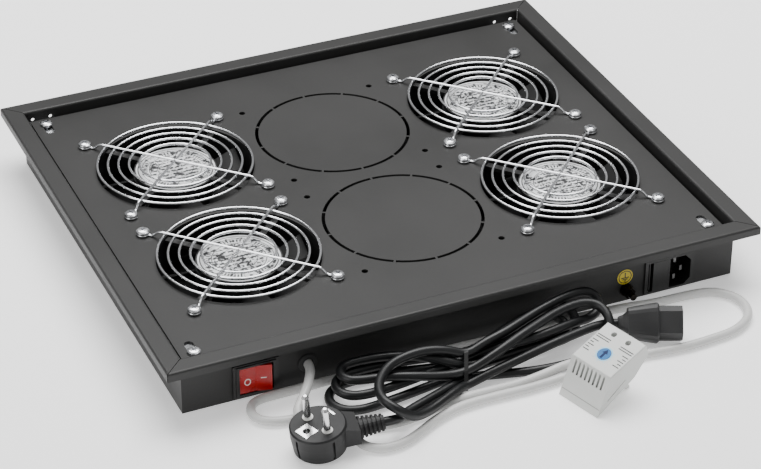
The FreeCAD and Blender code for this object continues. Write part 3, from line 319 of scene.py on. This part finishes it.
finishSettings = {
    "wideShare": 0.6,  # of the colour's grain
    "fineShare": 0.4,
    "toneFit": (0.35, 0.65),
    "glossFit": (0.3, 0.7),
    "scuffScale": 7,  # times the wide grain's scale
    "scuffFrom": 0.52,
    "scuffTo": 0.72,
    "scuffGloss": 0.12,
    "scuffBump": 0.6,
    "bumpDistance": 0.0002,
}


# grain, wide blotches, light scuffs in the gloss and a fine bump
def plainFinish(name, s):
    f = finishSettings
    g = Graph(name)
    fine = g.noise(s["fine"], 2.0)
    wide = g.noise(s["wide"], 4.0)
    scuff = g.noise(s["wide"] * f["scuffScale"], 6.0, 0.7)
    scuff = g.fit(scuff, f["scuffFrom"], f["scuffTo"], 0.0, s["wear"])
    tone = g.math("ADD", g.math("MULTIPLY", wide, f["wideShare"]), g.math("MULTIPLY", fine, f["fineShare"]))
    base = g.blend(g.fit(tone, *f["toneFit"], 0.0, 1.0), colour(s["a"]), colour(s["b"]))
    g.into("Base Color", base)
    gloss = g.fit(wide, *f["glossFit"], *s["rough"])
    gloss = g.math("ADD", gloss, g.math("MULTIPLY", scuff, f["scuffGloss"]))
    g.into("Roughness", gloss)
    g.into("Metallic", s.get("metal", 0.0))
    g.into("Specular IOR Level", s.get("shine", 0.5))
    height = g.math("ADD", fine, g.math("MULTIPLY", scuff, f["scuffBump"]))
    g.bump(height, s["bump"], f["bumpDistance"])
    return g


materials = {}
for name, look in looks.items():
    materials[name] = plainFinish(name, look).material

# fan label: radii in metres from the middle of the nearest fan, which stands at columnX, rowY
labelSettings = {
    "look": {"a": (0.74, 0.75, 0.76), "b": (0.86, 0.87, 0.88), "rough": (0.22, 0.40), "metal": 0.25,
             "bump": 0.03, "fine": 1300, "wide": 50, "wear": 0.3},
    "columnX": 0.1253,
    "rowY": 0.065,
    "rings": ((0.0272, 0.0280), (0.0246, 0.0250), (0.0190, 0.0196), (0.0128, 0.0133)),
    "strokes": 60,
    "strokeShare": 0.45,
    "strokeGaps": 5.0,
    "gapsBelow": -0.55,
    "strokeBand": (0.0206, 0.0236),
    "rowStep": 0.0042,
    "rowBand": (0.18, 0.74),
    "rowsWithin": 0.0186,
    "rowNoise": 480,
    "rowFrom": 0.47,
    "spotsWithin": 0.0262,
    "spotNoise": 260,
    "spotFrom": 0.56,
    "inkDepth": 0.96,
    "ink": (0.008, 0.008, 0.009, 1.0),
}


# silvered face with printed rings, a fine band of strokes, short rows and blotches
def labelFinish(name, s):
    g = plainFinish(name, s["look"])
    silver = g.shader.inputs["Base Color"].links[0].from_socket
    split = g.add("ShaderNodeSeparateXYZ", Vector=g.place)
    x = split.outputs["X"]
    y = split.outputs["Y"]
    dx = g.math("SUBTRACT", x, g.math("MULTIPLY", g.math("SIGN", x), s["columnX"]))
    dy = g.math("SUBTRACT", y, g.math("MULTIPLY", g.math("SIGN", y), s["rowY"]))
    r = g.math("SQRT", g.math("ADD", g.math("MULTIPLY", dx, dx), g.math("MULTIPLY", dy, dy)))
    turn = g.math("ARCTAN2", dy, dx)
    rings = g.most([g.band(r, low, high) for low, high in s["rings"]])
    stroke = g.math("FRACT", g.math("MULTIPLY", turn, s["strokes"] / (2 * math.pi)))
    gate = g.math("GREATER_THAN", g.math("SINE", g.math("MULTIPLY", turn, s["strokeGaps"])), s["gapsBelow"])
    spokes = g.math("MULTIPLY", g.band(stroke, 0.0, s["strokeShare"]), gate)
    rim = g.math("MULTIPLY", spokes, g.band(r, *s["strokeBand"]))
    row = g.math("FRACT", g.math("DIVIDE", dy, s["rowStep"]))
    cell = g.math("GREATER_THAN", g.noise(s["rowNoise"], 1.0, 0.6), s["rowFrom"])
    rows = g.math("MULTIPLY", g.band(row, *s["rowBand"]), cell)
    rows = g.math("MULTIPLY", rows, g.math("LESS_THAN", r, s["rowsWithin"]))
    spots = g.math("GREATER_THAN", g.noise(s["spotNoise"], 2.0, 0.7), s["spotFrom"])
    middle = g.math("MULTIPLY", g.math("MAXIMUM", rows, spots), g.math("LESS_THAN", r, s["spotsWithin"]))
    printed = g.math("MULTIPLY", g.most([rings, rim, middle]), s["inkDepth"])
    g.into("Base Color", g.blend(printed, silver, s["ink"]))
    return g.material


materials["silver_label"] = labelFinish("silver_label", labelSettings)

for name, node in nodes.items():
    for i, held in enumerate(node.data.materials):
        node.data.materials[i] = materials[held.name.split(".")[0]]
nodes["inlet_pins"].data.materials[0] = materials["shaded_inlet_metal"]  # painted shade: darker than the other pins, deep in the well
nodes["plug_body"].data.materials[0] = materials["plug_rubber"]
print("materials on", len(nodes), "nodes")


def meshPiece(name, bm, material, body):
    mesh = bpy.data.meshes.new(name)
    bmesh.ops.recalc_face_normals(bm, faces=bm.faces)
    bm.to_mesh(mesh)
    bm.free()
    piece = bpy.data.objects.new(name, mesh)
    bpy.context.scene.collection.objects.link(piece)
    piece.data.materials.append(materials[material])
    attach(piece, body)
    return piece


# prism of a flat outline standing on z = 0; the slabs are given in millimetres
def thinSlab(points, depth):
    bm = bmesh.new()
    ring = [bm.verts.new((x * mm, y * mm, 0.0)) for x, y in points]
    face = bm.faces.new(ring)
    made = bmesh.ops.extrude_face_region(bm, geom=[face])
    lifted = [v for v in made["geom"] if isinstance(v, bmesh.types.BMVert)]
    bmesh.ops.translate(bm, verts=lifted, vec=(0, 0, depth * mm))
    return bm


def oblongSlab(x0, x1, y0, y1, depth):
    return thinSlab(((x0, y0), (x1, y0), (x1, y1), (x0, y1)), depth)


# flat ring with a rectangular section; squeeze narrows it across x
def ringSlab(inner, outer, depth, squeeze=1.0, steps=48):
    bm = bmesh.new()
    section = ((inner, 0.0), (outer, 0.0), (outer, depth), (inner, depth))
    profile = [bm.verts.new((r * mm, 0.0, z * mm)) for r, z in section]
    edges = [bm.edges.new((profile[i], profile[(i + 1) % 4])) for i in range(4)]
    bmesh.ops.spin(bm, geom=profile + edges, cent=(0, 0, 0), axis=(0, 0, 1),
                   angle=2 * math.pi, steps=steps, use_merge=True)
    bmesh.ops.remove_doubles(bm, verts=bm.verts, dist=1e-7)
    bmesh.ops.scale(bm, vec=(squeeze, 1.0, 1.0), verts=bm.verts)
    return bm


def placed(bm, matrix):
    bmesh.ops.transform(bm, matrix=matrix, verts=bm.verts)
    return bm


def rotation(degrees, axis):
    return Matrix.Rotation(math.radians(degrees), 4, axis)


# x across the wall, y up it, z out towards the front
def onFront(x, y, z):
    return Matrix.Translation((x * mm, y * mm, z * mm)) @ rotation(90, "X")


# marks on the rocker: a ring on one half, a dash on the other
rockerSettings = {
    "at": (-156.2, -171.1, 15.0),
    "tilt": -8.0,
    "ring": {"across": -5.6, "up": -1.4, "out": 5.02, "slope": 7.6, "inner": 2.0, "outer": 2.7,
             "deep": 0.16, "squeeze": 0.85},
    "dash": {"across": 5.4, "up": 0.4, "out": 5.04, "slope": -7.8, "halfLong": 1.9, "halfHigh": 0.35,
             "deep": 0.12},
}


# a place on the rocker's face; slope tips the mark with the half that it is on
def onRocker(s, mark):
    middle = Matrix.Translation([v * mm for v in s["at"]]) @ rotation(s["tilt"], "Z")
    shift = Matrix.Translation((mark["across"] * mm, -mark["out"] * mm, mark["up"] * mm))
    return middle @ shift @ rotation(mark["slope"], "Z") @ rotation(90, "X")


def addRockerMarks(s):
    m = s["ring"]
    ring = ringSlab(m["inner"], m["outer"], m["deep"], m["squeeze"])
    meshPiece("rockerRing", placed(ring, onRocker(s, m)), "pad_print", "rocker")
    m = s["dash"]
    dash = oblongSlab(-m["halfLong"], m["halfLong"], -m["halfHigh"], m["halfHigh"], m["deep"])
    meshPiece("rockerDash", placed(dash, onRocker(s, m)), "pad_print", "rocker")


addRockerMarks(rockerSettings)

# earth sign and dark rim on the round sticker, in millimetres from its middle
stickerSettings = {
    "at": (122.0, -173.65, 20.3),
    "rim": (4.5, 5.15),
    "deep": 0.06,
    "strokes": ((-0.42, 0.42, -0.4, 3.5), (-3.0, 3.0, -1.1, -0.3), (-2.0, 2.0, -2.4, -1.6),
                (-0.9, 0.9, -3.7, -2.9)),
}


def addSticker(s):
    place = onFront(*s["at"])
    rim = placed(ringSlab(*s["rim"], s["deep"]), place)
    meshPiece("stickerRim", rim, "dark_print", "tray")
    for i, stroke in enumerate(s["strokes"]):
        mark = placed(oblongSlab(*stroke, s["deep"]), place)
        meshPiece("earthMark" + str(i + 1), mark, "dark_print", "tray")


addSticker(stickerSettings)

# the thermostat's own axes: x down its top face from the screws to the vents, y across it, z out of it
statSettings = {"x": 72.0, "y": -240.5, "turn": 197.5, "high": 39.0, "tilt": 18.4, "width": 36.0}
statMiddle = statSettings["width"] / 2


def onStat(x, y, z, slope=0.0):
    s = statSettings
    foot = Matrix.Translation((s["x"] * mm, s["y"] * mm, 0.0)) @ rotation(s["turn"], "Z")
    face = Matrix.Translation((0.0, 0.0, s["high"] * mm)) @ rotation(s["tilt"], "Y")
    return foot @ face @ Matrix.Translation((x * mm, y * mm, z * mm)) @ rotation(slope, "Y")


# pale halo and ticks round the dial, and the arrow on it
dialSettings = {
    "x": 22.4,
    "halo": (5.15, 6.1),
    "haloDeep": 0.1,
    "ticks": 7,
    "tickFrom": -120,
    "tickStep": 40,
    "tick": (6.5, 7.6, -0.18, 0.18),
    "tickDeep": 0.08,
    "arrow": ((-3.9, -0.9), (0.6, -0.9), (0.6, -2.3), (4.0, 0.0), (0.6, 2.3), (0.6, 0.9), (-3.9, 0.9)),
    "arrowLift": 0.3,
    "arrowDeep": 0.1,
}


def addDialMarks(s):
    place = onStat(s["x"], statMiddle, 0.0)
    halo = placed(ringSlab(*s["halo"], s["haloDeep"]), place)
    meshPiece("dialHalo", halo, "pale_blue_print", "tray")
    for k in range(s["ticks"]):
        turn = rotation(s["tickFrom"] + s["tickStep"] * k, "Z")
        tick = placed(oblongSlab(*s["tick"], s["tickDeep"]), place @ turn)
        meshPiece("dialTick" + str(k + 1), tick, "pale_blue_print", "tray")
    lifted = onStat(s["x"], statMiddle, s["arrowLift"]) @ rotation(180, "Z")
    arrow = placed(thinSlab(s["arrow"], s["arrowDeep"]), lifted)
    meshPiece("dialArrow", arrow, "deep_blue_print", "dial")


addDialMarks(dialSettings)

# dark grey lines along the engraved double rules and the two combs beside the dial
scaleSettings = {
    "edge": 1.6,
    "rules": (11.2, 13.1),
    "ruleEnd": 13.5,
    "combFrom": 16.4,
    "combStep": 2.4,
    "combLengths": (5.4, 3.2, 5.4, 3.2, 5.4),
    "halfWide": 0.34,
    "deep": 0.05,
}


def addScaleLines(s):
    width = statSettings["width"]
    farEdge = width - s["edge"]
    lines = [(x, s["edge"], s["ruleEnd"]) for x in s["rules"]]
    lines += [(x, width - s["ruleEnd"], farEdge) for x in s["rules"]]
    for k, length in enumerate(s["combLengths"]):
        x = s["combFrom"] + s["combStep"] * k
        lines.append((x, s["edge"], s["edge"] + length))
        lines.append((x, farEdge - length, farEdge))
    for k, (x, y0, y1) in enumerate(lines):
        line = oblongSlab(x - s["halfWide"], x + s["halfWide"], y0, y1, s["deep"])
        placed(line, onStat(0.0, 0.0, 0.0))
        meshPiece("scaleLine" + str(k + 1), line, "vent_shade_and_rule_grey", "tray")


addScaleLines(scaleSettings)

# painted shade at the bottoms of the eight vents in the sloping face
ventSettings = {"x": 35.6, "z": -5.6, "first": 5.0, "last": 31.0, "count": 8, "wide": 1.6, "run": 8.96,
                "slope": 51.34, "inset": 0.1, "deep": 0.15}


def addVentShades(s):
    for k in range(s["count"]):
        y = s["first"] + k * (s["last"] - s["first"]) / (s["count"] - 1)
        shade = oblongSlab(s["inset"], s["run"] - s["inset"], -s["wide"] / 2, s["wide"] / 2, s["deep"])
        placed(shade, onStat(s["x"], y, s["z"], s["slope"]))
        # painted shade inside the vent
        meshPiece("ventShade" + str(k + 1), shade, "vent_shade_and_rule_grey", "tray")


addVentShades(ventSettings)

# shaded step low on the sloping face
stepSettings = {"x": 50.4, "z": -18.73, "high": 0.5, "wide": 34.6, "slope": 49.85, "deep": 0.08}


def addStepLine(s):
    line = oblongSlab(-s["high"] / 2, s["high"] / 2, -s["wide"] / 2, s["wide"] / 2, s["deep"])
    placed(line, onStat(s["x"], statMiddle, s["z"], s["slope"]))
    meshPiece("stepLine", line, "step_shade", "tray")


addStepLine(stepSettings)
print("marks done")

# twist tie; strands are the places (y, z) of the lead's runs through it
tieSettings = {
    "x": -18.0,
    "skew": 0.45,
    "skewFromY": -209.0,
    "wide": 3.0,
    "thick": 0.8,
    "strand": 3.3,
    "slack": 0.15,
    "steps": 72,
    "strands": ((-226.3, 5.6), (-204.8, 5.6), (-201.5, 12.1), (-211.7, 18.6), (-222.0, 12.1)),
}


# flat strip once round the bundle, following its outline
def addTie(s):
    bm = bmesh.new()
    reach = s["strand"] + s["slack"]
    sections = []
    for k in range(s["steps"]):
        a = 2 * math.pi * k / s["steps"]
        c = math.cos(a)
        h = math.sin(a)
        y, z = max(s["strands"], key=lambda p: p[0] * c + p[1] * h)  # the strand furthest out this way
        corners = []
        for side, out in ((-1, 0), (1, 0), (1, 1), (-1, 1)):
            r = reach + out * s["thick"]
            px = s["x"] + s["skew"] * (y + c * r - s["skewFromY"]) + side * s["wide"] / 2
            corners.append(bm.verts.new((px * mm, (y + c * r) * mm, (z + h * r) * mm)))
        sections.append([bm.edges.new((corners[i], corners[(i + 1) % 4])) for i in range(4)])
    for k in range(s["steps"]):
        bmesh.ops.bridge_loops(bm, edges=sections[k] + sections[(k + 1) % s["steps"]])
    return bm


tie = meshPiece("twistTie", addTie(tieSettings), "tie_plastic", "tray")
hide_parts("cord_tie")
print("tie on")

for cord, name in ((mainsLead, "lead_cover"), (whiteCable, "white_cover")):
    cord.data.materials.append(materials[name])

# the floor glows a little outside the tray; under the tray it is painted dark and given no glow, as painted
# shade
floorSettings = {
    "half": 6.0,
    "tone": (0.96, 0.96, 0.96, 1.0),
    # painted shade: the floor's colour under the tray
    "dark": (0.01, 0.01, 0.01, 1.0),  # in the shade under the tray
    "glow": 0.42,
    "rough": 0.9,
    "trayHalfX": 0.2085,
    "trayHalfY": 0.1735,
    "fade": 0.0012,
}


def addFloor(s):
    bm = bmesh.new()
    bmesh.ops.create_grid(bm, x_segments=2, y_segments=2, size=s["half"])
    mesh = bpy.data.meshes.new("floor")
    bm.to_mesh(mesh)
    bm.free()
    floor = bpy.data.objects.new("floor", mesh)
    bpy.context.scene.collection.objects.link(floor)
    g = Graph("floor")
    split = g.add("ShaderNodeSeparateXYZ", Vector=g.place)
    pastX = g.math("SUBTRACT", g.math("ABSOLUTE", split.outputs["X"]), s["trayHalfX"])
    pastY = g.math("SUBTRACT", g.math("ABSOLUTE", split.outputs["Y"]), s["trayHalfY"])
    # painted shade: 0 under the tray, where the floor turns dark and stops glowing
    unshadedShare = g.fit(g.math("MAXIMUM", pastX, pastY), -s["fade"], 0.0, 0.0, 1.0)  # 0 under the tray
    g.into("Base Color", g.blend(unshadedShare, s["dark"], s["tone"]))
    g.into("Emission Color", (1.0, 1.0, 1.0, 1.0))
    g.into("Emission Strength", g.math("MULTIPLY", unshadedShare, s["glow"]))
    g.into("Roughness", s["rough"])
    floor.data.materials.append(g.material)


# power in watts, sizes and places in metres
lampSettings = {
    "overhead": {"at": (0.3, 0.6, 1.9), "size": (1.8, 1.4), "power": 80.0},
    "leftSoft": {"at": (-1.7, -0.5, 1.1), "size": (1.2, 1.2), "power": 14.0},
    "frontSoft": {"at": (0.7, -1.9, 1.5), "size": (1.4, 1.0), "power": 3.0},
}
lampsAim = (0.0, -0.03, 0.0)


def addLamp(name, s):
    lamp = bpy.data.lights.new(name, "AREA")
    lamp.shape = "RECTANGLE"
    lamp.size = s["size"][0]
    lamp.size_y = s["size"][1]
    lamp.energy = s["power"]
    holder = bpy.data.objects.new(name, lamp)
    holder.location = s["at"]
    holder.rotation_euler = (Vector(s["at"]) - Vector(lampsAim)).to_track_quat("Z", "Y").to_euler()
    bpy.context.scene.collection.objects.link(holder)


addFloor(floorSettings)
for name, settings in lampSettings.items():
    addLamp(name, settings)

worldSettings = {"tone": (1.0, 1.0, 1.0, 1.0), "strength": 0.35}
world = bpy.data.worlds.new("studio")
world.use_nodes = True
sky = world.node_tree.nodes["Background"]
sky.inputs["Color"].default_value = worldSettings["tone"]
sky.inputs["Strength"].default_value = worldSettings["strength"]
bpy.context.scene.world = world
print("stage set")
